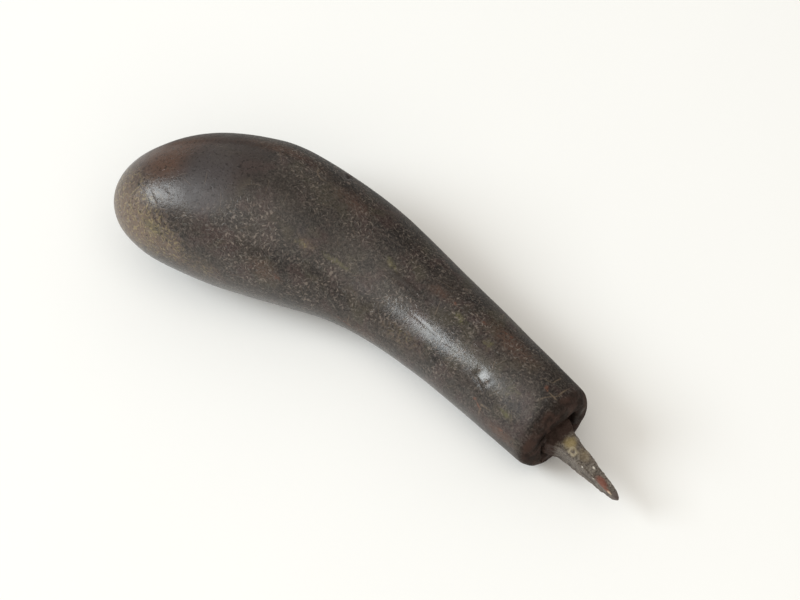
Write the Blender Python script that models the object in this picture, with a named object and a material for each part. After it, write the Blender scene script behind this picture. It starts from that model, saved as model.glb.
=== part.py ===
"""A palm-held awl: a bent wooden handle, bulb to neck, with a square iron spike in its end.

Metres, +Z up. The awl lies on its side on the plane z = 0, its length along X, the bulb
towards -X and the spike towards +X. The origin is on that plane, under the middle of the
whole awl. Left and right are those of someone looking out along the handle to the spike.
"""

import math

import bpy
import numpy as np

# Sizes of the iron: the spike outside, its wide foot in the mouth, the tang behind it
SPIKE_LENGTH = 0.0165
SPIKE_WIDTH = 0.0044
SPIKE_TIP_WIDTH = 0.0016
TIP_ROUNDING = 0.0022
FOOT_WIDTH = 0.0072
FOOT_HEIGHT = 0.0046
FOOT_DEPTH = 0.0035
FLARE_INSIDE = 0.0010
FLARE_LENGTH = 0.0030
TANG_LENGTH = 0.0150
TANG_END_WIDTH = 0.0030
EDGE_EASING = 0.0003

# Room between the iron and the wood
GAP_LEFT = 0.0014
GAP_RIGHT = 0.0004
GAP_ABOVE = 0.0019
GAP_BELOW = 0.0008
GAP_BEHIND = 0.0010

# How the iron sits in the end of the neck, from the neck's own middle
IRON_TO_RIGHT = 0.0005
FOOT_TO_RIGHT = 0.0002
IRON_DROP = 0.0005
IRON_TURN = 4.7
IRON_DIP = 3.0

# Sizes of the handle
HANDLE_LENGTH = 0.1043
BULB_WIDTH = 0.0320
BULB_REACH = 0.0302
NECK_WALL = 0.0045
END_ROUNDING = 0.0026
MOUTH_ROUNDING = 0.0009
REST_FLAT_DEPTH = 0.0003

# How the middle line turns in plan: share of the handle's length, heading in degrees from +X
TURNS = (
    (0.00, 26.7),
    (0.14, 26.2),
    (0.28, 15.6),
    (0.42, 11.1),
    (0.56, -5.7),
    (0.70, -13.2),
    (0.85, -14.1),
    (1.00, -11.8),
)

# How high a section is for its width: share of the handle's length, height over width
HEIGHTS = (
    (0.00, 0.96),
    (0.30, 0.96),
    (0.58, 0.80),
    (0.80, 0.98),
    (0.90, 1.03),
    (1.00, 1.00),
)

# Proportions of the carved form
BULB_FULLNESS = 2.1
SHOULDER_SHARE = 0.444
MOUTH_SQUARENESS = 6.0

# The most that a rounding takes: of the neck's wall at the rim and at the mouth's lip, and of
# the iron's thickness at its long edges
RIM_SHARE_OF_WALL = 0.60
LIP_SHARE_OF_WALL = 0.25
EASING_SHARE = 0.25

# Facets
POINTS_AROUND = 48
POINTS_AROUND_IRON = 24
LINE_STEPS = 400
BULB_RINGS = 16
NECK_RINGS = 34
ROUNDING_RINGS = 4
SOCKET_RINGS = 5
TANG_RINGS = 2
FLARE_RINGS = 6
SPIKE_RINGS = 8
TIP_RINGS = 5

# Edges that turn by more than this many degrees are shaded sharp
WOOD_EDGE = 50
IRON_EDGE = 35

# Finishes
WOOD_COLOUR = (0.045, 0.035, 0.028, 1.0)
WOOD_ROUGHNESS = 0.35
IRON_COLOUR = (0.160, 0.125, 0.095, 1.0)
IRON_METALLIC = 0.4
IRON_ROUGHNESS = 0.6

# Sizes that follow from those above
MOUTH_WIDTH = max(FOOT_WIDTH, SPIKE_WIDTH) + GAP_LEFT + GAP_RIGHT
MOUTH_HEIGHT = max(FOOT_HEIGHT, SPIKE_WIDTH) + GAP_ABOVE + GAP_BELOW
NECK_WIDTH = MOUTH_WIDTH + 2 * NECK_WALL
RIM_ROUNDING = min(END_ROUNDING, RIM_SHARE_OF_WALL * NECK_WALL)
LIP_ROUNDING = min(MOUTH_ROUNDING, LIP_SHARE_OF_WALL * NECK_WALL)
TANG_END = -FOOT_DEPTH - TANG_LENGTH


def through(stations, places):
    """A smooth curve through the stations: a cubic between each two, with the slope at a
    station taken from its neighbours."""
    where, value = np.array(stations).T
    slope = np.gradient(value, where)
    first = np.clip(np.searchsorted(where, places) - 1, 0, len(where) - 2)
    span = where[first + 1] - where[first]
    t = (places - where[first]) / span
    level = value[first] * (1 + 2 * t) * (1 - t) ** 2 + value[first + 1] * t * t * (3 - 2 * t)
    lean = slope[first] * t * (1 - t) ** 2 - slope[first + 1] * t * t * (1 - t)
    return level + lean * span


def ease(t):
    """0 to 1 with level ends."""
    t = np.clip(t, 0, 1)
    return t * t * (3 - 2 * t)


def steps_to(start, end, count):
    """Even steps from start to end, leaving start out."""
    return np.linspace(start, end, count + 1)[1:]


def middle_line(along):
    """Plan place and heading of the handle's middle line, at each length along it. The
    headings of TURNS are added up in short steps."""
    steps = np.linspace(0, HANDLE_LENGTH, LINE_STEPS)
    heading = np.radians(through(TURNS, steps / HANDLE_LENGTH))
    mean = (heading[1:] + heading[:-1]) / 2
    stride = np.diff(steps)
    x = np.concatenate([[0], np.cumsum(stride * np.cos(mean))])
    y = np.concatenate([[0], np.cumsum(stride * np.sin(mean))])
    return np.interp(along, steps, x), np.interp(along, steps, y), np.interp(along, steps, heading)


def half_width(along):
    """Half the handle's width: a full oval from the pole to the widest place, then a bell
    curve that runs out into the neck."""
    cap = 1 - np.clip(along / BULB_REACH, 0, 1)
    oval = BULB_WIDTH / 2 * (1 - cap**2) ** (1 / BULB_FULLNESS)
    run = np.clip((along - BULB_REACH) / (HANDLE_LENGTH - BULB_REACH), 0, 1)
    bell = 1 / (1 + (run / SHOULDER_SHARE) ** 2)
    bell_end = 1 / (1 + (1 / SHOULDER_SHARE) ** 2)
    fall = (bell - bell_end) / (1 - bell_end)
    neck = (NECK_WIDTH + (BULB_WIDTH - NECK_WIDTH) * fall) / 2
    return np.where(along < BULB_REACH, oval, neck)


def half_height(along):
    """Half the handle's height: its half width times the share that HEIGHTS gives."""
    return half_width(along) * through(HEIGHTS, along / HANDLE_LENGTH)


def axis_height(along):
    """Height of the middle line. From the bulb's widest place on, the underside reaches
    below the ground by the depth of the resting flat."""
    return half_height(np.maximum(along, BULB_REACH)) - REST_FLAT_DEPTH


def along_handle(along, left, up):
    """World points of sections across the middle line."""
    x, y, heading = middle_line(along)
    side = [-np.sin(heading), np.cos(heading)]
    return np.stack(
        [
            x[:, None] + side[0][:, None] * left,
            y[:, None] + side[1][:, None] * left,
            axis_height(along)[:, None] + up,
        ],
        axis=-1,
    )


def at_end(out, left, up):
    """World points of sections that lie level with the end face, out from it."""
    x, y, heading = (value[0] for value in middle_line(np.array([HANDLE_LENGTH])))
    height = axis_height(np.array([HANDLE_LENGTH]))[0]
    ahead = out[:, None]
    return np.stack(
        [
            x + math.cos(heading) * ahead - math.sin(heading) * left,
            y + math.sin(heading) * ahead + math.cos(heading) * left,
            height + up,
        ],
        axis=-1,
    )


def flare(out):
    """0 over the foot and 1 from where the spike proper starts."""
    return ease((out + FLARE_INSIDE) / (FLARE_INSIDE + FLARE_LENGTH))


def iron_middle(out):
    """How far left of the neck's middle and above it the iron's own middle line lies."""
    left = -IRON_TO_RIGHT - out * math.tan(math.radians(IRON_TURN)) - FOOT_TO_RIGHT * (1 - flare(out))
    up = -IRON_DROP - out * math.tan(math.radians(IRON_DIP))
    return left[:, None], up[:, None]


def angles(count):
    return np.arange(count) * 2 * math.pi / count


def squared(width, height, squareness, count):
    """Rings of a rounded rectangle (a superellipse) for each width and height."""
    c = np.cos(angles(count))
    s = np.sin(angles(count))
    left = np.sign(c) * np.abs(c) ** (2 / squareness)
    up = np.sign(s) * np.abs(s) ** (2 / squareness)
    return width[:, None] / 2 * left, height[:, None] / 2 * up


def handle_outside():
    """Rings from near the pole to the end face, the last ones round the rim. What would
    lie under the ground is cut off level with it."""
    pole_angle = steps_to(0, math.pi / 2, BULB_RINGS)
    bulb = BULB_REACH * (1 - np.cos(pole_angle))
    neck = steps_to(BULB_REACH, HANDLE_LENGTH - RIM_ROUNDING, NECK_RINGS)
    rim_angle = steps_to(0, math.pi / 2, ROUNDING_RINGS)
    rim = HANDLE_LENGTH - RIM_ROUNDING * (1 - np.sin(rim_angle))
    along = np.concatenate([bulb, neck, rim])
    width = half_width(along)
    height = half_height(along)
    drawn_in = RIM_ROUNDING * (1 - np.cos(rim_angle))
    width[-ROUNDING_RINGS:] -= drawn_in
    height[-ROUNDING_RINGS:] -= drawn_in
    around = angles(POINTS_AROUND)
    rings = along_handle(along, width[:, None] * np.cos(around), height[:, None] * np.sin(around))
    rings[..., 2] = np.maximum(rings[..., 2], 0)
    return rings


def handle_socket():
    """Rings from the end face over the lip and down the socket. Its walls keep their gaps
    to the foot in the mouth, and to the tang behind it."""
    lip_angle = np.linspace(0, math.pi / 2, ROUNDING_RINGS)
    lip = -LIP_ROUNDING * (1 - np.cos(lip_angle))
    bottom = TANG_END - GAP_BEHIND
    walls = [[-FOOT_DEPTH], steps_to(-FOOT_DEPTH, TANG_END, SOCKET_RINGS), [bottom]]
    out = np.concatenate([lip, *walls])
    iron_width, iron_height = iron_sizes(np.minimum(out, -FOOT_DEPTH))
    behind = out < -FOOT_DEPTH
    width = np.where(behind, iron_width + GAP_LEFT + GAP_RIGHT, MOUTH_WIDTH)
    height = np.where(behind, iron_height + GAP_ABOVE + GAP_BELOW, MOUTH_HEIGHT)
    flared = 2 * LIP_ROUNDING * (1 - np.sin(lip_angle))
    width[:ROUNDING_RINGS] += flared
    height[:ROUNDING_RINGS] += flared
    left, up = iron_middle(out)
    ring_left, ring_up = squared(width, height, MOUTH_SQUARENESS, POINTS_AROUND)
    left = left + (GAP_LEFT - GAP_RIGHT) / 2 + ring_left
    up = up + (GAP_ABOVE - GAP_BELOW) / 2 + ring_up
    return at_end(out, left, up)


def iron_sizes(out):
    """Width and height of the iron at each distance out of the end face. The tang widens
    to the foot, the foot flares down to the spike, and the spike tapers to its tip."""
    tang = np.clip((out - TANG_END) / TANG_LENGTH, 0, 1)
    taper = np.clip((out - FLARE_LENGTH) / (SPIKE_LENGTH - FLARE_LENGTH), 0, 1)
    spike = SPIKE_WIDTH + (SPIKE_TIP_WIDTH - SPIKE_WIDTH) * taper
    sizes = []
    for foot in (FOOT_WIDTH, FOOT_HEIGHT):
        inside = TANG_END_WIDTH + (foot - TANG_END_WIDTH) * tang
        outside = foot + (spike - foot) * flare(out)
        sizes.append(np.where(out < -FOOT_DEPTH, inside, outside))
    return sizes


def eased_square(width, height):
    """Rings of a four-sided bar whose long edges are rounded by EDGE_EASING."""
    per_corner = POINTS_AROUND_IRON // 4
    sweep = np.linspace(0, math.pi / 2, per_corner)
    corner = np.repeat(np.arange(4), per_corner)
    around = np.tile(sweep, 4) + corner * math.pi / 2
    side_sign = np.array([1, -1, -1, 1])[corner]
    up_sign = np.array([1, 1, -1, -1])[corner]
    easing = np.minimum(EDGE_EASING, EASING_SHARE * np.minimum(width, height))[:, None]
    left = side_sign * (width[:, None] / 2 - easing) + easing * np.cos(around)
    up = up_sign * (height[:, None] / 2 - easing) + easing * np.sin(around)
    return left, up


def iron_rings():
    """Rings from the tang's end to the tip, the last ones round the blunt tip."""
    tang = np.linspace(TANG_END, -FOOT_DEPTH, TANG_RINGS + 1)
    foot = steps_to(-FOOT_DEPTH, FLARE_LENGTH, FLARE_RINGS)
    spike = steps_to(FLARE_LENGTH, SPIKE_LENGTH - TIP_ROUNDING, SPIKE_RINGS)
    tip_angle = steps_to(0, math.pi / 2, TIP_RINGS + 1)[:-1]
    tip = SPIKE_LENGTH - TIP_ROUNDING * (1 - np.sin(tip_angle))
    out = np.concatenate([tang, foot, spike, tip])
    width, height = iron_sizes(out)
    width[-TIP_RINGS:] *= np.cos(tip_angle)
    height[-TIP_RINGS:] *= np.cos(tip_angle)
    ring_left, ring_up = eased_square(width, height)
    left, up = iron_middle(out)
    return at_end(out, left + ring_left, up + ring_up)


def closed_mesh(name, rings, first, last):
    """One closed surface over the rings, with a point at each of its two ends."""
    count, around = rings.shape[:2]
    points = np.concatenate([rings.reshape(-1, 3), [first, last]])
    ring = np.arange(count - 1)[:, None] * around
    here = np.arange(around)
    following = (here + 1) % around
    ahead = ring + around
    walls = np.stack([ring + here, ring + following, ahead + following, ahead + here], axis=-1)
    start = np.stack([np.full(around, count * around), following, here], axis=-1)
    end = np.stack([np.full(around, count * around + 1), here, following], axis=-1)
    end[:, 1:] += (count - 1) * around
    mesh = bpy.data.meshes.new(name)
    mesh.from_pydata(points.tolist(), [], walls.reshape(-1, 4).tolist() + start.tolist() + end.tolist())
    mesh.validate()
    return mesh


def add_piece(name, mesh, material, sharp_degrees):
    mesh.shade_smooth()
    mesh.set_sharp_from_angle(angle=math.radians(sharp_degrees))
    mesh.materials.append(material)
    bpy.context.scene.collection.objects.link(bpy.data.objects.new(name, mesh))


def finish(name, colour, metallic, roughness):
    """A material with these plain values."""
    material = bpy.data.materials.new(name)
    material.use_nodes = True
    shader = material.node_tree.nodes["Principled BSDF"]
    shader.inputs["Base Color"].default_value = colour
    shader.inputs["Metallic"].default_value = metallic
    shader.inputs["Roughness"].default_value = roughness
    return material


def build():
    for thing in list(bpy.data.objects):
        bpy.data.objects.remove(thing, do_unlink=True)
    outside = handle_outside()
    socket = handle_socket()
    iron = iron_rings()
    pole = along_handle(np.array([0.0]), np.zeros((1, 1)), np.zeros((1, 1)))[0, 0]
    bottom = socket[-1].mean(axis=0)
    tang_end = iron[0].mean(axis=0)
    left, up = iron_middle(np.array([SPIKE_LENGTH]))
    tip = at_end(np.array([SPIKE_LENGTH]), left, up)[0, 0]
    every = np.concatenate([outside.reshape(-1, 3), iron.reshape(-1, 3), [pole, tip]])
    middle = (every.min(axis=0) + every.max(axis=0)) / 2
    middle[2] = 0
    wood = np.concatenate([outside, socket]) - middle
    handle = closed_mesh("handle", wood, pole - middle, bottom - middle)
    blade = closed_mesh("blade", iron - middle, tang_end - middle, tip - middle)
    add_piece("handle", handle, finish("stained wood", WOOD_COLOUR, 0.0, WOOD_ROUGHNESS), WOOD_EDGE)
    iron_finish = finish("corroded iron", IRON_COLOUR, IRON_METALLIC, IRON_ROUGHNESS)
    add_piece("blade", blade, iron_finish, IRON_EDGE)


build()
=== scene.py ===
"""The looks of the awl: fine surfaces for its two pieces, their finishes, floor, light, camera.

The handle and the blade follow the sizes and formulas of the solids, on much finer grids, and
add what use and the ground have left on them: soft carving facets, dents, a notch, creases, a
worn rim, pits and blisters. All relief goes inwards, so a piece stays within its solid.
Metres, +Z up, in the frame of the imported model. Left and right are those of someone looking
out along the handle to the spike.
"""

import math

import bpy
import numpy as np
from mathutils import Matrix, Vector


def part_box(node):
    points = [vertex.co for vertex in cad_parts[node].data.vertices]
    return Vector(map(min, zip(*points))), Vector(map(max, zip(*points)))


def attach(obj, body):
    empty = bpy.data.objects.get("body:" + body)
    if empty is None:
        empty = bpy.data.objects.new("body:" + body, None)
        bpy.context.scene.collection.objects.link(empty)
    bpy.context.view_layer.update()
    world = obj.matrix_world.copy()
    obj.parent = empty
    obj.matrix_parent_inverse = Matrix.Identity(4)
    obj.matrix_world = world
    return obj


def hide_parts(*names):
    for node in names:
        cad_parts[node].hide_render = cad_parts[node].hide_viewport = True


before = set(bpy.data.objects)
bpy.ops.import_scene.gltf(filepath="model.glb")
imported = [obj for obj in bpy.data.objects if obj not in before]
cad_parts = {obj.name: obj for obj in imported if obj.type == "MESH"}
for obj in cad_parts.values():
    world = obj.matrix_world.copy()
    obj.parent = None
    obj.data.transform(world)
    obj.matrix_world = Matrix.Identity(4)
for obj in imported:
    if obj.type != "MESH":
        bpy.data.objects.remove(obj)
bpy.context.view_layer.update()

MM = 0.001

# Sizes of the iron, as in the solids
SPIKE_LENGTH = 0.0165
SPIKE_WIDTH = 0.0044
SPIKE_TIP_WIDTH = 0.0016
TIP_ROUNDING = 0.0022
FOOT_WIDTH = 0.0072
FOOT_HEIGHT = 0.0046
FOOT_DEPTH = 0.0035
FLARE_INSIDE = 0.0010
FLARE_LENGTH = 0.0030
TANG_LENGTH = 0.0150
TANG_END_WIDTH = 0.0030
EDGE_EASING = 0.0003

# Room between the iron and the wood
GAP_LEFT = 0.0014
GAP_RIGHT = 0.0004
GAP_ABOVE = 0.0019
GAP_BELOW = 0.0008
GAP_BEHIND = 0.0010

# How the iron sits in the end of the neck
IRON_TO_RIGHT = 0.0005
FOOT_TO_RIGHT = 0.0002
IRON_DROP = 0.0005
IRON_TURN = 4.7
IRON_DIP = 3.0

# Sizes of the handle
HANDLE_LENGTH = 0.1043
BULB_WIDTH = 0.0320
BULB_REACH = 0.0302
NECK_WALL = 0.0045
END_ROUNDING = 0.0026
MOUTH_ROUNDING = 0.0009
REST_FLAT_DEPTH = 0.0003

# How the handle's middle line turns: share of its length, heading in degrees from +X
TURNS = (
    (0.00, 26.7),
    (0.14, 26.2),
    (0.28, 15.6),
    (0.42, 11.1),
    (0.56, -5.7),
    (0.70, -13.2),
    (0.85, -14.1),
    (1.00, -11.8),
)

# How high a section is for its width: share of the handle's length, height over width
HEIGHT_SHARES = (
    (0.00, 0.96),
    (0.30, 0.96),
    (0.58, 0.80),
    (0.80, 0.98),
    (0.90, 1.03),
    (1.00, 1.00),
)

# Proportions of the carved form
BULB_FULLNESS = 2.1
SHOULDER_SHARE = 0.444
MOUTH_SQUARENESS = 6.0

# Sizes that follow
MOUTH_WIDTH = max(FOOT_WIDTH, SPIKE_WIDTH) + GAP_LEFT + GAP_RIGHT
MOUTH_HEIGHT = max(FOOT_HEIGHT, SPIKE_WIDTH) + GAP_ABOVE + GAP_BELOW
NECK_WIDTH = MOUTH_WIDTH + 2 * NECK_WALL
TANG_END = -FOOT_DEPTH - TANG_LENGTH

# Grids: points round the handle, and rings over each stretch of it
AROUND_HANDLE = 256
LINE_STEPS = 800
BULB_RINGS = 110
NECK_RINGS = 196
RIM_RINGS = 20
FACE_RINGS = 8
LIP_RINGS = 12
SOCKET_RINGS = 16

# Grids: points along each side and each corner of the iron, and rings over its stretches
SIDE_POINTS = 30
CORNER_POINTS = 8
TANG_RINGS = 12
FOOT_RINGS = 50
SPIKE_RINGS = 190
TIP_RINGS = 26

# Random values along each side of the cube that the noise repeats
LATTICE = 32

# Relief of the wood, all of it inwards: depths and sizes of its noises, the levels between
# which a facet sets in, how far back the worn rim reaches, and the noises' seeds
WOOD_SINK = 0.03 * MM
FACET_DEPTH = 0.18 * MM
FACET_SIZE = 13 * MM
FACET_LEVELS = (0.4, 0.9)
WEAR_DEPTH = 0.08 * MM
WEAR_SIZE = 4.5 * MM
END_WEAR_DEPTH = 0.30 * MM
END_WEAR_SIZE = 1.9 * MM
END_WEAR_REACH = 1.4 * END_ROUNDING
FACET_SEED = 3
WEAR_SEED = 5
END_WEAR_SEED = 8

# Relief of the iron: the size and depth of each kind of pit, how sharply a pit sets in, where
# the upper face starts, and how much of the relief is left at the tip
IRON_SINK = 0.10 * MM
LEAST_SINK = IRON_SINK / 4
PITS = ((1.7 * MM, 0.10 * MM), (0.7 * MM, 0.12 * MM), (0.3 * MM, 0.07 * MM))
PIT_CONTRAST = 1.6
PIT_SHIFT = 0.5
PIT_SEED = 20
TOP_FACE_FROM = 0.6
TOP_FACE_SPAN = 0.3
TIP_RELIEF_SHARE = 0.2

# Blisters on the iron's upper face: mm out, share across it to the left, radius and rise in
# mm. The ring blister also has the thickness of its wall, before the rise
BLISTERS = (
    (2.9, 0.05, 1.1, 0.08),
    (8.6, 0.50, 0.7, 0.06),
    (12.6, -0.30, 0.9, 0.08),
)
RING_BLISTER = (4.5, -0.35, 0.62, 0.22, 0.09)

# Dents, creases and hollows in the wood: mm along the handle, degrees around it from its left
# side over the top, half length and half width in mm, turn in degrees from the handle's run,
# and last the depth in mm
DENTS = (
    # The dent on the neck, the crease beside it and fine lines along the highlight
    (87.7, 126.5, 1.1, 1.4, 20.0, 0.17),
    (88.8, 135.0, 1.6, 0.35, 25.0, 0.18),
    (72.0, 123.0, 4.0, 0.22, 4.0, 0.06),
    (80.0, 127.0, 3.0, 0.22, -5.0, 0.07),
    (90.4, 127.0, 0.3, 1.2, 15.0, 0.10),
    # The notch in the upper edge
    (43.6, 42.0, 0.45, 1.5, 0.0, 0.60),
    # Creases on the bulb, along the waist and on the neck
    (9.5, 121.0, 1.5, 0.3, 60.0, 0.10),
    (13.0, 115.0, 1.2, 0.3, 40.0, 0.10),
    (63.0, 104.0, 4.0, 0.45, 0.0, 0.12),
    (54.5, 202.0, 3.5, 0.5, 0.0, 0.25),
    (59.5, 200.0, 4.0, 0.5, 0.0, 0.28),
    (66.0, 60.0, 2.2, 1.2, 10.0, 0.15),
    (92.0, 160.0, 2.4, 0.25, 60.0, 0.10),
    # Hollows in the rim, and a crease behind it
    (104.2, 163.0, 1.6, 2.6, 0.0, 0.45),
    (104.0, 108.0, 1.3, 2.4, 0.0, 0.25),
    (95.0, 70.0, 2.8, 0.25, -25.0, 0.10),
    # Dents on the side that the photo doesn't show
    (30.0, 300.0, 2.5, 1.0, -20.0, 0.20),
    (70.0, 255.0, 3.0, 0.9, 12.0, 0.20),
    (84.0, 330.0, 1.8, 0.8, 35.0, 0.22),
)

# Stains, a painted sheen, painted shade and kinds of gloss on the wood, placed in the same way, and
# last how strong each is
STAINS = {
    "worn": (
        (3.0, 140.0, 5.0, 9.0, 0.0, 0.9),
        (8.0, 156.0, 5.0, 5.5, 0.0, 0.8),
        (14.0, 168.0, 4.0, 4.0, 0.0, 0.5),
        (22.0, 178.0, 5.0, 3.0, 0.0, 0.4),
        (43.0, 125.0, 2.5, 1.2, 10.0, 0.4),
        (70.0, 150.0, 6.0, 2.5, 0.0, 0.3),
        (6.0, 320.0, 6.0, 6.0, 0.0, 0.6),
    ),
    "polished": (
        (88.8, 126.0, 1.8, 1.2, 30.0, 1.0),
        (72.0, 121.0, 15.0, 2.0, 0.0, 0.8),
        (9.5, 118.0, 3.2, 2.0, 30.0, 0.4),
    ),
    "matte": (
        (64.0, 46.0, 36.0, 6.0, 0.0, 1.6),
        (22.0, 52.0, 14.0, 4.0, 0.0, 1.2),
        (103.0, 60.0, 5.0, 7.0, 0.0, 0.8),
        (104.0, 120.0, 3.0, 8.0, 0.0, 0.9),
        (104.0, 180.0, 3.0, 8.0, 0.0, 0.9),
        (50.0, 215.0, 30.0, 4.0, 0.0, 0.5),
    ),
    "scratched": (
        (92.2, 154.0, 1.3, 0.2, -10.0, 0.9),
        (91.6, 165.0, 0.25, 2.2, 0.0, 0.9),
        (97.8, 76.0, 1.2, 0.2, -30.0, 0.8),
        (98.8, 64.0, 0.25, 1.8, 0.0, 0.8),
        (100.8, 86.0, 1.5, 0.2, 0.0, 1.0),
        (101.4, 70.0, 0.22, 2.2, 0.0, 0.9),
        (11.0, 118.0, 2.2, 0.2, 50.0, 0.7),
        (13.6, 123.0, 0.2, 1.4, 20.0, 0.7),
        (57.0, 196.0, 5.0, 0.25, 12.0, 0.9),
        (54.0, 182.0, 3.0, 0.25, 30.0, 0.7),
    ),
    "smooth": (
        (16.0, 95.0, 9.0, 9.0, 0.0, 1.2),
        (25.0, 80.0, 7.0, 8.0, 0.0, 0.8),
        (10.0, 60.0, 8.0, 6.0, 0.0, 0.8),
        (20.0, 260.0, 10.0, 8.0, 0.0, 0.8),
    ),
    "olive": (
        (41.8, 125.0, 1.4, 0.7, 0.0, 0.9),
        (50.0, 124.0, 4.5, 0.9, 0.0, 0.8),
        (59.5, 96.0, 2.2, 0.9, 20.0, 0.9),
        (77.0, 93.0, 2.4, 1.0, 0.0, 0.8),
        (85.0, 94.0, 1.6, 1.3, 0.0, 0.8),
        (96.5, 142.0, 1.5, 0.8, 0.0, 0.9),
        (10.0, 150.0, 3.5, 2.0, 30.0, 0.8),
        (95.0, 116.0, 3.0, 3.0, 0.0, 0.5),
        (48.0, 280.0, 5.0, 2.0, 15.0, 0.7),
    ),
    "rust": (
        (91.0, 159.0, 1.5, 0.35, 35.0, 1.0),
        (89.6, 154.0, 0.9, 0.3, -50.0, 1.0),
        (97.0, 165.0, 0.7, 0.5, 0.0, 1.0),
        (39.0, 160.0, 3.0, 1.3, 20.0, 0.6),
        (74.0, 84.0, 3.0, 0.5, 10.0, 0.7),
        (81.0, 78.0, 1.4, 0.7, 0.0, 0.8),
        (86.0, 66.0, 3.0, 0.5, -10.0, 0.7),
        (99.0, 84.0, 1.2, 0.6, 40.0, 0.9),
        (56.0, 178.0, 3.5, 0.6, 15.0, 0.7),
        (64.0, 300.0, 3.0, 1.0, 0.0, 0.6),
    ),
    "umber": (
        (11.0, 88.0, 4.5, 4.5, 0.0, 0.8),
        (12.0, 62.0, 8.0, 4.0, 0.0, 0.7),
        (32.0, 58.0, 9.0, 3.0, 0.0, 0.6),
        (47.0, 72.0, 5.0, 2.5, 10.0, 0.6),
        (88.0, 72.0, 8.0, 3.0, 0.0, 0.7),
        (70.0, 86.0, 4.0, 1.6, 0.0, 0.6),
        (97.0, 172.0, 4.0, 2.0, 0.0, 0.8),
        (60.0, 178.0, 9.0, 2.5, 0.0, 0.5),
        (36.0, 158.0, 4.0, 3.0, 15.0, 0.6),
        (74.0, 230.0, 9.0, 5.0, 0.0, 0.6),
    ),
    # Painted sheen: bluish grey where the key light's sheen lies on the top of the bulb and neck, and
    # on a patch underneath; the wood is also rougher there
    "slate_sheen": (
        (21.0, 98.0, 5.5, 7.5, 0.0, 1.0),
        (20.0, 115.0, 4.0, 3.5, 0.0, 0.7),
        (96.0, 120.0, 3.5, 4.0, 0.0, 0.6),
        (41.5, 116.0, 2.0, 1.4, 0.0, 0.7),
        (57.5, 131.0, 2.5, 1.1, 0.0, 0.8),
        (72.0, 96.0, 3.5, 2.0, 0.0, 0.6),
        (33.0, 230.0, 6.0, 3.0, 0.0, 0.5),
    ),
    # Painted shade: along a facet edge, in the notch, in the crease, under the dent and by the rim, and
    # darker on a patch of the bulb's top
    "dark": (
        (63.5, 101.0, 4.5, 0.9, 0.0, 0.8),
        (43.6, 41.0, 1.2, 1.2, 0.0, 0.9),
        (57.0, 201.0, 6.0, 0.6, 0.0, 0.8),
        (88.6, 136.0, 2.0, 0.6, 0.0, 0.7),
        (102.0, 115.0, 1.4, 6.0, 0.0, 0.5),
        (33.0, 100.0, 6.0, 4.0, 0.0, 0.4),
    ),
}

# Stains, the painted sheen and the painted shade: the levels between which a placed one shows, and how
# uneven its edge is
STAIN_EDGES = {
    "umber": (0.1, 0.9, 0.8),
    "worn": (0.0, 1.1, 2.4),
    "slate_sheen": (0.1, 0.9, 0.8),
    "olive": (0.3, 1.0, 1.6),
    "rust": (0.4, 1.0, 1.4),
    "scratched": (0.2, 1.0, 1.0),
    "dark": (0.1, 0.9, 1.2),
}

# Colours of the wood, as screen values from 0 to 255
WARM_BROWN = (46, 40, 36)
BLACK_BROWN = (32, 29, 28)
PURPLE_BROWN = (54, 42, 40)
GREEN_BROWN = (54, 49, 40)
HANDLED_BROWN = (60, 50, 47)
ROSE_GRAIN = (92, 76, 72)
GREEN_GRAIN = (76, 78, 70)
PORE_BROWN = (20, 15, 13)
SCRATCH_TAN = (126, 110, 92)
# Painted shade for the creases, the notch and under the dent
CREASE_SHADE_BROWN = (28, 19, 14)
RIM_SHADE = (36, 27, 23)
RIM_BROWN = (63, 47, 41)

# Stains and the painted sheen in the order that they lie on each other: name, cover and colour
STAIN_COLOURS = (
    ("umber", 0.80, (80, 56, 44)),
    ("worn", 0.85, (112, 94, 80)),
    # slate: a bluish painted sheen, not a stain
    ("slate_sheen", 0.55, (60, 56, 58)),
    ("olive", 0.75, (94, 90, 58)),
    ("rust", 0.75, (108, 68, 52)),
)

# Fibre flecks in the order that they lie on each other: cell, half length, half width and curl
# in mm, offset of the pattern, cover, and the two tones that they vary between
FLECKS = (
    (1.15, 0.62, 0.12, 0.90, 0, 0.42, (114, 98, 88), (98, 98, 90)),
    (0.62, 0.34, 0.09, 0.45, 40, 0.50, (108, 92, 86), (90, 92, 90)),
    (1.00, 0.42, 0.13, 0.80, 97, 0.50, (136, 124, 114), (136, 124, 114)),
)
WORN_FLECKS = (0.90, 0.60, 0.13, 1.10, 77, 0.55, (140, 126, 92), (140, 126, 92))

# Gloss of the wood: what handling and oil have left
WOOD_IOR = 1.46
WOOD_GLOSS_TINT = (1.0, 0.97, 0.94, 1.0)
MIDDLE_GLOSS = 0.5

# Colours of the iron, as screen values from 0 to 255
IRON_BROWN = (84, 74, 64)
IRON_GREY = (112, 104, 94)
IRON_DARK = (54, 44, 38)
IRON_PALE = (160, 150, 136)
RING_PALE = (160, 148, 124)
TIP_DARK = (74, 60, 56)
# Painted light on the side that faces the key light
LIT_SIDE_GREY = (108, 100, 92)
# Partly the foot's own stain, partly painted shade under the lip
FOOT_PURPLE_AND_SHADE = (58, 43, 38)
PIT_BROWN = (48, 38, 32)

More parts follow.
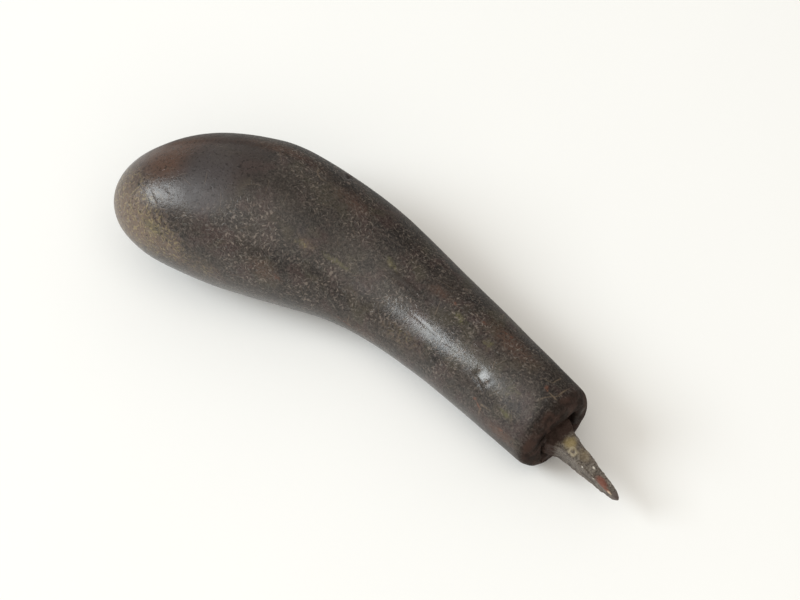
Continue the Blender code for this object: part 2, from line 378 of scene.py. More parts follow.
# Patches on the iron's upper face in the order that they lie on each other: mm out, share
# across it to the left, radius and softness in mm, cover and colour. The pale ring over the
# ring blister lies between the two kinds
OCHRE_PATCHES = (
    (2.9, 0.05, 1.15, 0.7, 0.7, (152, 134, 88)),
    (6.3, 0.30, 1.20, 0.8, 0.4, (134, 116, 82)),
)
RING_RADII = (0.95, 0.45)
RING_SOFTNESS = 0.2
RING_COVER = 0.75
RED_PATCHES = (
    (12.2, -0.30, 1.30, 0.60, 0.85, (112, 62, 46)),
    (13.8, -0.85, 0.90, 0.50, 0.70, (128, 74, 54)),
    (14.7, -0.80, 0.50, 0.30, 0.80, (204, 182, 156)),
    (7.7, -0.78, 0.22, 0.15, 0.90, (214, 208, 196)),
    (10.6, -0.95, 0.22, 0.15, 0.90, (214, 208, 196)),
    (9.2, 0.20, 0.22, 0.15, 0.90, (214, 208, 196)),
)

# Floor, light and camera. Turns are degrees from +X, rises are degrees over the ground
FLOOR_HALF = 3.0
FLOOR_DROP = 0.05 * MM
PAPER_SHADE = (240, 239, 237)
PAPER_WHITE = (243, 242, 240)
PAPER_ROUGHNESS = 0.9
KEY_TURN = -144.0
KEY_RISE = 37.5
KEY_DISTANCE = 1.6
KEY_SIZE = 0.74
KEY_POWER = 16.0
KEY_COLOUR = (0.87, 0.95, 1.0)
FILL_TURN = -60.0
FILL_RISE = 62.0
FILL_DISTANCE = 2.2
FILL_SIZE = 3.2
FILL_POWER = 30.0
FILL_COLOUR = (1.0, 0.965, 0.90)
SKY_COLOUR = (1.0, 0.965, 0.90, 1.0)
SKY_STRENGTH = 0.49
CAMERA_TARGET = (-0.00237, 0.00730, 0.0)
CAMERA_BEARING = 33.68
CAMERA_ELEVATION = 57.0
CAMERA_DISTANCE = 0.4444
CAMERA_LENS = 100
CAMERA_SENSOR = 36
CAMERA_CLIP_START = 0.01


def through(stations, places):
    """A smooth curve through the stations: a cubic between each two, with the slope at a
    station taken from its neighbours."""
    where, value = np.array(stations).T
    slope = np.gradient(value, where)
    first = np.clip(np.searchsorted(where, places) - 1, 0, len(where) - 2)
    span = where[first + 1] - where[first]
    t = (places - where[first]) / span
    level = value[first] * (1 + 2 * t) * (1 - t) ** 2 + value[first + 1] * t * t * (3 - 2 * t)
    lean = slope[first] * t * (1 - t) ** 2 - slope[first + 1] * t * t * (1 - t)
    return level + lean * span


def ease(t):
    """0 to 1 with level ends: t * t * (3 - 2 t), held at its ends outside them."""
    t = np.clip(t, 0, 1)
    return t * t * (3 - 2 * t)


def steps_to(start, end, count):
    """Even steps from start to end, leaving start out."""
    return np.linspace(start, end, count + 1)[1:]


def lattice_noise(points, cell, seed):
    """Smooth noise from 0 to 1: random values at the corners of cubes of this size, blended
    between the corners by t * t * (3 - 2 t) along each axis."""
    table = np.random.default_rng(seed).random((LATTICE, LATTICE, LATTICE))
    place = points / cell
    low = np.floor(place).astype(int)
    share = ease(place - low)
    total = 0
    for corner in np.ndindex(2, 2, 2):
        weight = np.prod(np.where(corner, share, 1 - share), axis=-1)
        x, y, z = np.moveaxis((low + corner) % LATTICE, -1, 0)
        total = total + weight * table[x, y, z]
    return total


def middle_line(along):
    """Plan place and heading of the handle's middle line: the headings of TURNS added up in
    short steps."""
    steps = np.linspace(0, HANDLE_LENGTH, LINE_STEPS)
    heading = np.radians(through(TURNS, steps / HANDLE_LENGTH))
    mean = (heading[1:] + heading[:-1]) / 2
    stride = np.diff(steps)
    x = np.concatenate([[0], np.cumsum(stride * np.cos(mean))])
    y = np.concatenate([[0], np.cumsum(stride * np.sin(mean))])
    return np.interp(along, steps, x), np.interp(along, steps, y), np.interp(along, steps, heading)


def half_width(along):
    """Half the handle's width: the oval w (1 - c^n)^(1/n) over the bulb, then the bell curve
    1 / (1 + r^2) that runs out into the neck."""
    cap = 1 - np.clip(along / BULB_REACH, 0, 1)
    oval = BULB_WIDTH / 2 * (1 - cap**2) ** (1 / BULB_FULLNESS)
    run = np.clip((along - BULB_REACH) / (HANDLE_LENGTH - BULB_REACH), 0, 1)
    bell = 1 / (1 + (run / SHOULDER_SHARE) ** 2)
    bell_end = 1 / (1 + (1 / SHOULDER_SHARE) ** 2)
    fall = (bell - bell_end) / (1 - bell_end)
    neck = (NECK_WIDTH + (BULB_WIDTH - NECK_WIDTH) * fall) / 2
    return np.where(along < BULB_REACH, oval, neck)


def half_height(along):
    """Half the handle's height: its half width times the share that HEIGHT_SHARES gives."""
    return half_width(along) * through(HEIGHT_SHARES, along / HANDLE_LENGTH)


def axis_height(along):
    """Height of the middle line over the ground."""
    return half_height(np.maximum(along, BULB_REACH)) - REST_FLAT_DEPTH


def along_handle(along, left, up):
    """Points of sections across the middle line: its place plus left and up from it."""
    x, y, heading = middle_line(along)
    return np.stack(
        [
            x[:, None] - np.sin(heading)[:, None] * left,
            y[:, None] + np.cos(heading)[:, None] * left,
            axis_height(along)[:, None] + up,
        ],
        axis=-1,
    )


def at_end(out, left, up):
    """Points of sections that lie level with the end face, out from it."""
    end = np.array([HANDLE_LENGTH])
    x, y, heading = (value[0] for value in middle_line(end))
    ahead = np.broadcast_to(out[:, None], left.shape)
    return np.stack(
        [
            x + math.cos(heading) * ahead - math.sin(heading) * left,
            y + math.sin(heading) * ahead + math.cos(heading) * left,
            axis_height(end)[0] + up,
        ],
        axis=-1,
    )


def flare(out):
    """0 over the foot and 1 from where the spike proper starts."""
    return ease((out + FLARE_INSIDE) / (FLARE_INSIDE + FLARE_LENGTH))


def iron_middle(out):
    """How far left of the neck's middle and above it the iron's own middle line lies."""
    left = -IRON_TO_RIGHT - out * math.tan(math.radians(IRON_TURN)) - FOOT_TO_RIGHT * (1 - flare(out))
    up = -IRON_DROP - out * math.tan(math.radians(IRON_DIP))
    return left[:, None], up[:, None]


def iron_sizes(out):
    """Width and height of the iron at each distance out of the end face: the tang widens to
    the foot, the foot flares down to the spike, and the spike tapers to its tip."""
    tang = np.clip((out - TANG_END) / TANG_LENGTH, 0, 1)
    taper = np.clip((out - FLARE_LENGTH) / (SPIKE_LENGTH - FLARE_LENGTH), 0, 1)
    spike = SPIKE_WIDTH + (SPIKE_TIP_WIDTH - SPIKE_WIDTH) * taper
    sizes = []
    for foot in (FOOT_WIDTH, FOOT_HEIGHT):
        inside = TANG_END_WIDTH + (foot - TANG_END_WIDTH) * tang
        outside = foot + (spike - foot) * flare(out)
        sizes.append(np.where(out < -FOOT_DEPTH, inside, outside))
    return sizes


def outside_rings():
    """Rings from near the pole to the rim's inner edge: ellipses across the middle line, drawn
    in by r (1 - cos a) round the rim. Also gives how far along each ring is."""
    pole_angle = steps_to(0, math.pi / 2, BULB_RINGS)
    rim_angle = steps_to(0, math.pi / 2, RIM_RINGS)
    bulb = BULB_REACH * (1 - np.cos(pole_angle))
    neck = steps_to(BULB_REACH, HANDLE_LENGTH - END_ROUNDING, NECK_RINGS)
    rim = HANDLE_LENGTH - END_ROUNDING * (1 - np.sin(rim_angle))
    along = np.concatenate([bulb, neck, rim])
    width = half_width(along)
    height = half_height(along)
    width[-RIM_RINGS:] -= END_ROUNDING * (1 - np.cos(rim_angle))
    height[-RIM_RINGS:] -= END_ROUNDING * (1 - np.cos(rim_angle))
    around = np.arange(AROUND_HANDLE) * 2 * math.pi / AROUND_HANDLE
    rings = along_handle(along, width[:, None] * np.cos(around), height[:, None] * np.sin(around))
    return rings, along


def socket_rings():
    """Rings over the lip and down the socket: rounded rectangles, the superellipse
    |x|^n + |y|^n = 1, a gap larger than the iron."""
    lip_angle = np.linspace(0, math.pi / 2, LIP_RINGS)
    lip = -MOUTH_ROUNDING * (1 - np.cos(lip_angle))
    walls = steps_to(-MOUTH_ROUNDING, TANG_END - GAP_BEHIND, SOCKET_RINGS)
    out = np.concatenate([lip, walls])
    iron_width, iron_height = iron_sizes(np.minimum(out, -FOOT_DEPTH))
    behind = out < -FOOT_DEPTH
    width = np.where(behind, iron_width + GAP_LEFT + GAP_RIGHT, MOUTH_WIDTH)
    height = np.where(behind, iron_height + GAP_ABOVE + GAP_BELOW, MOUTH_HEIGHT)
    width[:LIP_RINGS] += 2 * MOUTH_ROUNDING * (1 - np.sin(lip_angle))
    height[:LIP_RINGS] += 2 * MOUTH_ROUNDING * (1 - np.sin(lip_angle))
    around = np.arange(AROUND_HANDLE) * 2 * math.pi / AROUND_HANDLE
    c = np.cos(around)
    s = np.sin(around)
    ring_left = np.sign(c) * np.abs(c) ** (2 / MOUTH_SQUARENESS) * width[:, None] / 2
    ring_up = np.sign(s) * np.abs(s) ** (2 / MOUTH_SQUARENESS) * height[:, None] / 2
    left, up = iron_middle(out)
    left = left + (GAP_LEFT - GAP_RIGHT) / 2 + ring_left
    up = up + (GAP_ABOVE - GAP_BELOW) / 2 + ring_up
    return at_end(out, left, up)


def iron_rings():
    """Rings from the tang's end to the tip: squares with rounded corners, each side of even
    steps, shrunk by cos a round the tip. Also gives each ring's distance out and, for each
    point, how far it is across the iron's width and height, from -1 to 1."""
    tip_angle = steps_to(0, math.pi / 2, TIP_RINGS + 1)[:-1]
    tang = np.linspace(TANG_END, -FOOT_DEPTH, TANG_RINGS)
    foot = steps_to(-FOOT_DEPTH, FLARE_LENGTH, FOOT_RINGS)
    spike = steps_to(FLARE_LENGTH, SPIKE_LENGTH - TIP_ROUNDING, SPIKE_RINGS)
    tip = SPIKE_LENGTH - TIP_ROUNDING * (1 - np.sin(tip_angle))
    out = np.concatenate([tang, foot, spike, tip])
    width, height = iron_sizes(out)
    width[-TIP_RINGS:] *= np.cos(tip_angle)
    height[-TIP_RINGS:] *= np.cos(tip_angle)
    easing = np.minimum(EDGE_EASING, np.minimum(width, height) / 4)[:, None]
    sweep = np.tile(np.linspace(0, math.pi / 2, CORNER_POINTS), 4)
    corner = np.repeat(np.arange(4), CORNER_POINTS)
    round_corner = sweep + corner * math.pi / 2
    left_sign = np.array([1, -1, -1, 1])[corner]
    up_sign = np.array([1, 1, -1, -1])[corner]
    left = left_sign * (width[:, None] / 2 - easing) + easing * np.cos(round_corner)
    up = up_sign * (height[:, None] / 2 - easing) + easing * np.sin(round_corner)
    corners = np.stack([left, up], axis=-1).reshape(len(out), 4, CORNER_POINTS, 2)
    start = corners[:, :, -1:]
    end = np.roll(corners, -1, axis=1)[:, :, :1]
    share = np.linspace(0, 1, SIDE_POINTS + 2)[1:-1, None]
    sides = start + (end - start) * share
    section = np.concatenate([corners, sides], axis=2).reshape(len(out), -1, 2)
    across = section / np.stack([width, height], axis=-1)[:, None] * 2
    middle_left, middle_up = iron_middle(out)
    rings = at_end(out, middle_left + section[..., 0], middle_up + section[..., 1])
    return rings, out, across


def normals_of(rings):
    """Outward unit normals: the cross product of the steps around and along the grid."""
    around = np.roll(rings, -1, axis=1) - np.roll(rings, 1, axis=1)
    along = np.gradient(rings, axis=0)
    normal = np.cross(around, along)
    length = np.linalg.norm(normal, axis=-1, keepdims=True)
    return normal / np.maximum(length, 1e-15)


def spots(along, angle, girth, places):
    """The sum of hills with the profile exp(-q^2), q being the distance from a place's middle
    in its own half lengths, measured on the unrolled surface."""
    total = 0
    for at, degrees, half_long, half_wide, turn, height in places:
        u = along / MM - at
        wrapped = (angle - math.radians(degrees) + math.pi) % (2 * math.pi) - math.pi
        v = wrapped * girth / MM
        c = math.cos(math.radians(turn))
        s = math.sin(math.radians(turn))
        q = ((u * c + v * s) / half_long) ** 2 + ((v * c - u * s) / half_wide) ** 2
        total = total + height * np.exp(-q)
    return total


def closed_mesh(name, rings, first, last):
    """One closed surface over the rings, with a point at each of its two ends."""
    count, around = rings.shape[:2]
    points = np.concatenate([rings.reshape(-1, 3), [first, last]])
    ring = np.arange(count - 1)[:, None] * around
    here = np.arange(around)
    following = (here + 1) % around
    ahead = ring + around
    walls = np.stack([ring + here, ring + following, ahead + following, ahead + here], axis=-1)
    start = np.stack([np.full(around, count * around), following, here], axis=-1)
    end = np.stack([np.full(around, count * around + 1), here, following], axis=-1)
    end[:, 1:] += (count - 1) * around
    mesh = bpy.data.meshes.new(name)
    mesh.from_pydata(points.tolist(), [], walls.reshape(-1, 4).tolist() + start.tolist() + end.tolist())
    mesh.shade_smooth()
    return mesh


def add_attribute(mesh, name, values):
    """A number at every point of a closed mesh; its two end points take the mean of the first
    and of the last ring."""
    every = np.concatenate([values.ravel(), [values[0].mean(), values[-1].mean()]])
    attribute = mesh.attributes.new(name, "FLOAT", "POINT")
    attribute.data.foreach_set("value", every.astype(np.float32))


def add_piece(name, mesh, material, node):
    """The finished piece, standing for its solid."""
    mesh.materials.append(material)
    piece = bpy.data.objects.new(name, mesh)
    bpy.context.scene.collection.objects.link(piece)
    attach(piece, "root")
    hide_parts(node)


def middle_of(node, points):
    """How far the formulas' own points lie from where the solid stands."""
    low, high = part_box(node)
    middle = (points.min(axis=0) + points.max(axis=0)) / 2 - (np.array(low) + np.array(high)) / 2
    middle[2] = 0
    return middle


def make_handle(material):
    """The handle: the plain form, pushed in by slow noise for the carver's facets, finer noise
    for wear, stronger at the rim, and the dents. The relief fades out over the lip, and the
    socket's walls are plain."""
    outside, along = outside_rings()
    socket = socket_rings()
    share = np.linspace(0, 1, FACE_RINGS + 2)[1:-1, None, None]
    face = outside[-1] + (socket[0] - outside[-1]) * share
    rings = np.concatenate([outside, face, socket])
    middle = middle_of("handle", outside.reshape(-1, 3))
    rings = rings - middle
    count = len(rings)
    place_along = np.full((count, AROUND_HANDLE), HANDLE_LENGTH)
    place_along[: len(along)] = along[:, None]
    angle = np.broadcast_to(np.arange(AROUND_HANDLE) * 2 * math.pi / AROUND_HANDLE, place_along.shape)
    at_rim = ease((place_along - HANDLE_LENGTH + END_WEAR_REACH) / END_ROUNDING)
    depth_in = np.zeros(count)
    depth_in[-SOCKET_RINGS - LIP_RINGS :] = 1
    depth_in[-SOCKET_RINGS - LIP_RINGS : -SOCKET_RINGS] = np.linspace(0, 1, LIP_RINGS)
    low, high = FACET_LEVELS
    facets = ease((lattice_noise(rings, FACET_SIZE, FACET_SEED) - low) / (high - low))
    wear = lattice_noise(rings, WEAR_SIZE, WEAR_SEED)
    end_wear = lattice_noise(rings, END_WEAR_SIZE, END_WEAR_SEED)
    depth = WOOD_SINK + FACET_DEPTH * facets + WEAR_DEPTH * wear
    depth += END_WEAR_DEPTH * end_wear * at_rim
    girth = half_width(place_along)
    depth += MM * spots(place_along, angle, girth, DENTS)
    depth *= 1 - depth_in[:, None]
    shaped = rings - normals_of(rings) * depth[..., None]
    shaped[..., 2] = np.maximum(shaped[..., 2], 0)
    pole = along_handle(np.array([0.0]), np.zeros((1, 1)), np.zeros((1, 1)))[0, 0] - middle
    mean_step = (shaped[0] - rings[0]).mean(axis=0)
    mesh = closed_mesh("handle", shaped, pole + mean_step, shaped[-1].mean(axis=0))
    for name, places in STAINS.items():
        add_attribute(mesh, name, spots(place_along, angle, girth, places))
    add_attribute(mesh, "along", place_along / MM)
    add_attribute(mesh, "rim", at_rim)
    add_piece("carved_handle", mesh, material, "handle")
    return middle


def make_blade(material, middle):
    """The blade: the plain bar, pushed in by three sizes of noise for pits, less where a
    blister rises. A blister has the profile exp(-r^4), and the ring exp(-r^2) across its wall."""
    rings, out, across = iron_rings()
    rings = rings - middle
    run = out[:, None] / MM
    depth = IRON_SINK
    for seed, (cell, deep) in enumerate(PITS):
        pits = lattice_noise(rings, cell, PIT_SEED + seed)
        depth = depth + deep * ease(pits * PIT_CONTRAST - PIT_SHIFT)
    on_top = ease((across[..., 1] - TOP_FACE_FROM) / TOP_FACE_SPAN)
    half_side = SPIKE_WIDTH / MM / 2
    for at, to_left, radius, rise in BLISTERS:
        reach = np.hypot(run - at, (across[..., 0] - to_left) * half_side) / radius
        depth = depth - on_top * rise * MM * np.exp(-(reach**4))
    at, to_left, radius, thickness, rise = RING_BLISTER
    reach = np.hypot(run - at, (across[..., 0] - to_left) * half_side) - radius
    depth = depth - on_top * rise * MM * np.exp(-((reach / thickness) ** 2))
    depth = np.maximum(depth, LEAST_SINK)
    shrink = np.ones(len(out))
    shrink[-TIP_RINGS:] = np.linspace(1, TIP_RELIEF_SHARE, TIP_RINGS)
    depth = depth * shrink[:, None]
    shaped = rings - normals_of(rings) * depth[..., None]
    left, up = iron_middle(np.array([SPIKE_LENGTH]))
    tip = at_end(np.array([SPIKE_LENGTH]), left, up)[0, 0] - middle
    tip = (tip + shaped[-1].mean(axis=0)) / 2
    mesh = closed_mesh("blade", shaped, shaped[0].mean(axis=0), tip)
    out_mm = np.broadcast_to((out / MM)[:, None], shaped.shape[:2])
    add_attribute(mesh, "out", out_mm)
    add_attribute(mesh, "left", across[..., 0])
    add_attribute(mesh, "up", across[..., 1])
    add_attribute(mesh, "pit", depth / depth.max())
    add_piece("forged_blade", mesh, material, "blade")


def from_srgb(colour):
    """A linear colour from screen values of 0 to 255."""
    share = np.array(colour) / 255
    linear = np.where(share <= 0.04045, share / 12.92, ((share + 0.055) / 1.055) ** 2.4)
    return (*linear.tolist(), 1.0)


class Finish:
    """Adds nodes to one material. Places and sizes are in millimetres, on the piece's own
    coordinates. A value may be a number or another node's output."""

    def __init__(self, name):
        self.material = bpy.data.materials.new(name)
        self.material.use_nodes = True
        self.tree = self.material.node_tree
        self.shader = self.tree.nodes["Principled BSDF"]
        coordinates = self.add("ShaderNodeTexCoord").outputs["Object"]
        self.place = self.vector("SCALE", coordinates, scale=1 / MM)

    def add(self, kind, inputs=None, **settings):
        node = self.tree.nodes.new(kind)
        for name, value in settings.items():
            setattr(node, name, value)
        for name, value in (inputs or {}).items():
            self.set(node.inputs[name], value)
        return node

    def set(self, socket, value):
        if isinstance(value, bpy.types.NodeSocket):
            self.tree.links.new(value, socket)
        else:
            socket.default_value = value

    def vector(self, operation, a, b=None, scale=None):
        node = self.add("ShaderNodeVectorMath", {0: a}, operation=operation)
        if b is not None:
            self.set(node.inputs[1], b)
        if scale is not None:
            self.set(node.inputs["Scale"], scale)
        return node.outputs["Value" if operation in ("DOT_PRODUCT", "LENGTH") else "Vector"]

    def math(self, operation, a, b=0.0, clamp=False):
        node = self.add("ShaderNodeMath", {0: a, 1: b}, operation=operation, use_clamp=clamp)
        return node.outputs[0]

    def plus(self, a, b):
        return self.math("ADD", a, b)

    def minus(self, a, b):
        return self.math("SUBTRACT", a, b)

    def times(self, a, b):
        return self.math("MULTIPLY", a, b)

    def ramp(self, value, low, high):
        """0 at low and 1 at high, eased; low may be the greater one."""
        inputs = {"Value": value, "From Min": low, "From Max": high}
        return self.add("ShaderNodeMapRange", inputs, interpolation_type="SMOOTHSTEP").outputs[0]

    def mix(self, share, first, second):
        """The first colour where the share is 0 and the second where it is 1. A colour is an
        output or a tuple of screen values."""
        inputs = {"Factor": share}
        for socket, colour in ((6, first), (7, second)):
            inputs[socket] = from_srgb(colour) if isinstance(colour, tuple) else colour
        return self.add("ShaderNodeMix", inputs, data_type="RGBA").outputs[2]

    def noise(self, size, detail=2.0, roughness=0.5, offset=0.0):
        """The two outputs of a noise: a number, and a colour."""
        inputs = {
            "Vector": self.vector("ADD", self.place, (offset, offset, offset)),
            "Scale": 1 / size,
            "Detail": detail,
            "Roughness": roughness,
        }
        node = self.add("ShaderNodeTexNoise", inputs)
        return node.outputs[0], node.outputs[1]

    def swing(self, *noise, **more):
        """A noise of these settings about 0, from -0.5 to 0.5."""
        return self.minus(self.noise(*noise, **more)[0], 0.5)

    def blotches(self, low, high, *noise, **more):
        """0 where a noise of these settings is at the low level, and 1 where at the high one."""
        return self.ramp(self.noise(*noise, **more)[0], low, high)

    def flecks(self, cell, length, width, curl, offset=0.0):
        """Short curved strokes. Each cell of a Voronoi pattern holds a thin disc at its middle,
        turned at random; where it meets the surface it shows as a stroke. Noise added to the
        place beforehand curls the strokes."""
        middle = (0.5, 0.5, 0.5)
        shake = self.vector("SUBTRACT", self.noise(cell * 1.1, 1.0, offset=offset + 7)[1], middle)
        place = self.vector("ADD", self.place, self.vector("SCALE", shake, scale=curl))
        place = self.vector("ADD", place, (offset, offset, offset))
        cells = self.add("ShaderNodeTexVoronoi", {"Vector": place, "Scale": 1 / cell})
        from_middle = self.vector("SUBTRACT", place, cells.outputs["Position"])
        turn = self.vector("NORMALIZE", self.vector("SUBTRACT", cells.outputs["Color"], middle))
        off_disc = self.math("ABSOLUTE", self.vector("DOT_PRODUCT", from_middle, turn))
        near_disc = self.ramp(off_disc, width, width * 0.45)
        in_reach = self.ramp(self.vector("LENGTH", from_middle), length, length * 0.6)
        return self.times(near_disc, in_reach), cells.outputs["Color"]

    def read(self, name):
        return self.add("ShaderNodeAttribute", attribute_name=name).outputs["Fac"]

    def bump(self, height, distance_mm, before=None):
        inputs = {"Height": height, "Distance": distance_mm * MM, "Strength": 1.0}
        node = self.add("ShaderNodeBump", inputs)
        if before is not None:
            self.set(node.inputs["Normal"], before)
        return node.outputs[0]

    def connect(self, colour, roughness, normal):
        self.set(self.shader.inputs["Base Color"], colour)
        self.set(self.shader.inputs["Roughness"], roughness)
        self.set(self.shader.inputs["Normal"], normal)
        return self.material


def placed_stains(f):
    """Where each placed stain shows, from 0 to 1, its edge broken up by a fine noise."""
    break_up = f.swing(0.9, 4, 0.75, offset=61)
    shows = {}
    for name, (low, high, uneven) in STAIN_EDGES.items():
        place = f.plus(f.read(name), f.times(break_up, uneven))
        place = f.math("MINIMUM", place, f.times(f.read(name), 3.0))
        shows[name] = f.ramp(place, low, high)
    return shows


def wood_ground(f, stains, smooth, grain):
    """Soft blotches of brown, purple-brown and green-brown, the placed stains and a bluish painted
    sheen over them, and a fine paler grain with dark pores. Grain shows less where handling has
    smoothed the wood."""
    ground = f.mix(f.blotches(0.38, 0.62, 9, 3), WARM_BROWN, BLACK_BROWN)
    ground = f.mix(f.blotches(0.48, 0.66, 5, 2, offset=31), ground, PURPLE_BROWN)
    ground = f.mix(f.blotches(0.54, 0.70, 6, 2, offset=57), ground, GREEN_BROWN)
    ground = f.mix(f.times(smooth, 0.6), ground, HANDLED_BROWN)
    for name, cover, colour in STAIN_COLOURS:
        ground = f.mix(f.times(stains[name], cover), ground, colour)
    grain_cover = f.minus(0.60, f.times(smooth, 0.45))
    grain_tone = f.mix(f.noise(1.1, 2, 0.6, offset=71)[0], ROSE_GRAIN, GREEN_GRAIN)
    ground = f.mix(f.times(f.ramp(grain, 0.42, 0.66), grain_cover), ground, grain_tone)
    pores = f.blotches(0.46, 0.34, 0.6, 3, 0.65, offset=12)
    return f.mix(f.times(pores, 0.75), ground, PORE_BROWN)


def lay_flecks(f, ground, dense, flecks):
    """One kind of fleck over the ground. Also gives where the flecks are."""
    cell, length, width, curl, offset, cover, first, second = flecks
    strokes, pick = f.flecks(cell, length, width, curl, offset)
    cover = f.times(f.times(strokes, dense), cover)
    return f.mix(cover, ground, f.mix(pick, first, second)), strokes


def stained_wood():
    """Nearly black-brown handled wood: a blotched and stained ground with a bluish painted sheen, muted
    curled fibre flecks of several tones, fine scratches, painted shade in the creases, the notch and
    under the dent, darker patches by the rim and on the bulb's top, and a dull brown rim. The gloss of
    handling lies over it, duller at the end and on the matte places."""
    f = Finish("stained wood")
    f.set(f.shader.inputs["IOR"], WOOD_IOR)
    f.set(f.shader.inputs["Specular Tint"], WOOD_GLOSS_TINT)
    stains = placed_stains(f)
    smooth = f.ramp(f.read("smooth"), 0.15, 0.75)
    polished = f.read("polished")
    at_end = f.ramp(f.read("along"), 88.0, 98.0)
    at_rim = f.ramp(f.plus(f.read("rim"), f.swing(2.2, 2, offset=27)), 0.45, 1.1)
    matte = f.math("MAXIMUM", f.ramp(f.read("matte"), 0.1, 0.9), at_rim)

    grain = f.noise(0.40, 4, 0.70)[0]
    ground = wood_ground(f, stains, smooth, grain)
    dense = f.plus(f.times(f.blotches(0.36, 0.60, 11, 2, offset=5), 0.7), 0.3)
    dense = f.times(dense, f.minus(1.0, smooth))
    dense = f.times(dense, f.minus(1.0, f.times(at_end, 0.5)))
    ground, long_flecks = lay_flecks(f, ground, dense, FLECKS[0])
    for flecks in FLECKS[1:]:
        ground = lay_flecks(f, ground, dense, flecks)[0]
    ground = lay_flecks(f, ground, f.ramp(f.read("worn"), 0.05, 0.6), WORN_FLECKS)[0]
    scratches = f.times(f.flecks(5.0, 2.2, 0.05, 1.5, offset=23)[0], 0.3)
    scratches = f.math("MAXIMUM", scratches, f.times(stains["scratched"], 0.55))
    ground = f.mix(scratches, ground, SCRATCH_TAN)
    # Painted shade in the creases, the notch, under the dent and by the rim
    ground = f.mix(f.times(stains["dark"], 0.85), ground, CREASE_SHADE_BROWN)
    rim_tone = f.mix(f.blotches(0.38, 0.62, 2.4, 2, offset=19), RIM_SHADE, RIM_BROWN)
    ground = f.mix(f.times(at_rim, 0.85), ground, rim_tone)

    roughness = f.plus(f.times(f.noise(2.5, 3, 0.6, offset=3)[0], 0.16), 0.20)
    rougher = ((at_end, 0.18), (at_rim, 0.16), (matte, 0.20))
    # Rougher where the bluish sheen is painted, and on the worn places
    rougher += ((stains["slate_sheen"], 0.16), (stains["worn"], 0.085))
    for where, more in rougher:
        roughness = f.plus(roughness, f.times(where, more))
    roughness = f.minus(roughness, f.times(polished, 0.16))
    gloss = f.minus(MIDDLE_GLOSS, f.times(matte, 0.40))
    f.set(f.shader.inputs["Specular IOR Level"], f.plus(gloss, f.times(polished, 0.25)))
    normal = f.bump(f.noise(1.6, 3, 0.6, offset=9)[0], 0.06)
    normal = f.bump(grain, 0.035, normal)
    normal = f.bump(f.plus(long_flecks, scratches), -0.02, normal)
    return f.connect(ground, roughness, normal)


def corroded_iron():
    """Old iron, mottled grey-brown and grain by grain, with an ochre crust by the foot, a ring blister,
    a dark red patch, pale specks and a dark tip, and greyer on the side that faces the key light, which
    is painted light. The foot is dark purple-brown, partly a stain and partly painted shade under the
    lip."""
    f = Finish("corroded iron")
    half_side = SPIKE_WIDTH / MM / 2
    out = f.read("out")
    left = f.read("left")
    down = f.times(f.minus(1.0, f.read("up")), half_side)
    shake = f.times(f.swing(0.9, 3, 0.65), 2.6)

    def patch(at, across, radius, softness, cover):
        """A round patch on the upper face, with an uneven edge."""
        side = f.times(f.minus(left, across), half_side)
        away = f.add("ShaderNodeCombineXYZ", {0: f.minus(out, at), 1: side, 2: down}).outputs[0]
        reach = f.plus(f.vector("LENGTH", away), f.times(shake, 0.45))
        return f.times(f.ramp(reach, radius + softness, radius - softness), cover)

    ground = f.mix(f.blotches(0.36, 0.64, 1.1, 3, 0.65), IRON_BROWN, IRON_GREY)
    ground = f.mix(f.blotches(0.48, 0.62, 0.35, 3, 0.65, offset=20), ground, IRON_DARK)
    pale_grains = f.blotches(0.58, 0.72, 0.3, 2, 0.6, offset=44)
    ground = f.mix(f.times(pale_grains, 0.6), ground, IRON_PALE)
    for *place, colour in OCHRE_PATCHES:
        ground = f.mix(patch(*place), ground, colour)
    discs = [patch(*RING_BLISTER[:2], radius, RING_SOFTNESS, RING_COVER) for radius in RING_RADII]
    ground = f.mix(f.math("SUBTRACT", *discs, clamp=True), ground, RING_PALE)
    for *place, colour in RED_PATCHES:
        ground = f.mix(patch(*place), ground, colour)

    uneven_out = f.plus(out, shake)
    ground = f.mix(f.times(f.ramp(uneven_out, 14.6, 16.2), 0.8), ground, TIP_DARK)
    # Painted light: the side that faces the key light made greyer
    ground = f.mix(f.times(f.ramp(left, -0.75, -1.0), 0.35), ground, LIT_SIDE_GREY)
    at_foot = f.ramp(uneven_out, 2.3, 0.9)
    # The foot's dark purple-brown: partly a stain, partly painted shade under the lip
    ground = f.mix(f.times(at_foot, 0.9), ground, FOOT_PURPLE_AND_SHADE)
    ground = f.mix(f.times(f.ramp(f.read("pit"), 0.45, 0.85), 0.55), ground, PIT_BROWN)

    roughness = f.plus(f.times(f.noise(0.8, 3, 0.6, offset=3)[0], 0.4), 0.38)
    f.set(f.shader.inputs["Specular IOR Level"], f.minus(MIDDLE_GLOSS, f.times(at_foot, 0.4)))
    normal = f.bump(f.noise(0.6, 3, 0.65, offset=9)[0], 0.10)
    normal = f.bump(f.noise(0.2, 3, 0.65, offset=15)[0], 0.06, normal)
    return f.connect(ground, roughness, normal)


def pale_floor():
    """Matt paper, very slightly mottled."""
    f = Finish("pale floor")
    tone = f.mix(f.noise(60, 2)[0], PAPER_SHADE, PAPER_WHITE)
    return f.connect(tone, PAPER_ROUGHNESS, f.bump(f.noise(1.5, 2)[0], 0.01))


def aim(thing, target):
    """Turns a light or a camera so that it looks at the target, with its top upwards."""
    place = thing.location
    direction = np.array(target) - np.array(place)
    flat = math.hypot(direction[0], direction[1])
    tilt = math.atan2(flat, -direction[2])
    bearing = math.atan2(-direction[0], direction[1])
    thing.rotation_euler = (tilt, 0, bearing)


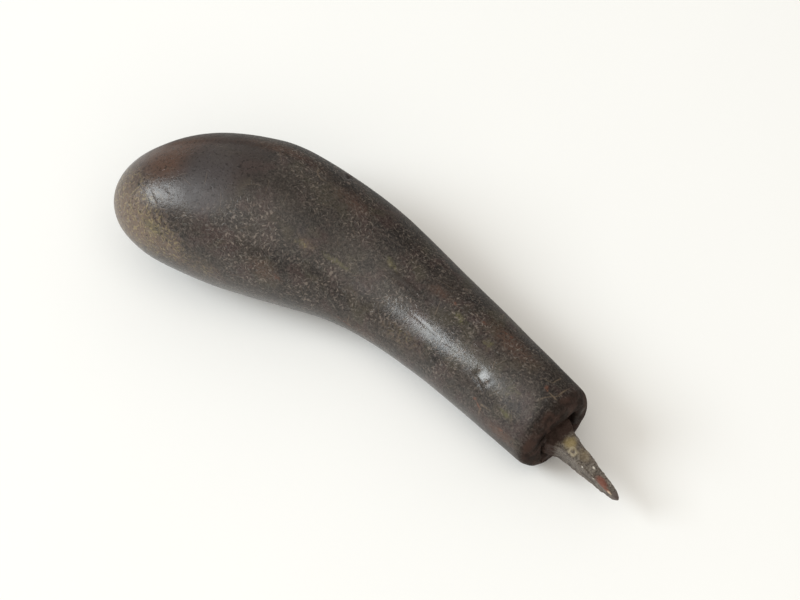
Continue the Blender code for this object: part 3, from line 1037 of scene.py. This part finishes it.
def add_softbox(name, turn, rise, distance, size, power, colour):
    """A square soft light that looks at the part from this turn and rise."""
    light = bpy.data.lights.new(name, "AREA")
    light.shape = "SQUARE"
    light.size = size
    light.energy = power
    light.color = colour
    softbox = bpy.data.objects.new(name, light)
    flat = distance * math.cos(math.radians(rise))
    softbox.location = (
        flat * math.cos(math.radians(turn)),
        flat * math.sin(math.radians(turn)),
        distance * math.sin(math.radians(rise)),
    )
    aim(softbox, (0, 0, 0))
    bpy.context.scene.collection.objects.link(softbox)


def make_stage():
    """The floor, the room's even light and the two softboxes."""
    mesh = bpy.data.meshes.new("floor")
    corners = [(-1, -1), (1, -1), (1, 1), (-1, 1)]
    points = [(x * FLOOR_HALF, y * FLOOR_HALF, -FLOOR_DROP) for x, y in corners]
    mesh.from_pydata(points, [], [(0, 1, 2, 3)])
    mesh.materials.append(pale_floor())
    floor = bpy.data.objects.new("floor", mesh)
    bpy.context.scene.collection.objects.link(floor)

    world = bpy.data.worlds.new("room")
    world.use_nodes = True
    sky = world.node_tree.nodes["Background"]
    sky.inputs["Color"].default_value = SKY_COLOUR
    sky.inputs["Strength"].default_value = SKY_STRENGTH
    bpy.context.scene.world = world

    add_softbox("key light", KEY_TURN, KEY_RISE, KEY_DISTANCE, KEY_SIZE, KEY_POWER, KEY_COLOUR)
    add_softbox("fill light", FILL_TURN, FILL_RISE, FILL_DISTANCE, FILL_SIZE, FILL_POWER, FILL_COLOUR)


def make_camera():
    """The camera at the photo's angle."""
    data = bpy.data.cameras.new("camera")
    data.lens = CAMERA_LENS
    data.sensor_width = CAMERA_SENSOR
    data.clip_start = CAMERA_CLIP_START
    camera = bpy.data.objects.new("camera", data)
    bearing = math.radians(CAMERA_BEARING)
    elevation = math.radians(CAMERA_ELEVATION)
    flat = CAMERA_DISTANCE * math.cos(elevation)
    camera.location = (
        CAMERA_TARGET[0] + flat * math.sin(bearing),
        CAMERA_TARGET[1] - flat * math.cos(bearing),
        CAMERA_TARGET[2] + CAMERA_DISTANCE * math.sin(elevation),
    )
    aim(camera, CAMERA_TARGET)
    bpy.context.scene.collection.objects.link(camera)
    bpy.context.scene.camera = camera
    bpy.context.scene.view_settings.view_transform = "Standard"


handle_middle = make_handle(stained_wood())
make_blade(corroded_iron(), handle_middle)
make_stage()
make_camera()
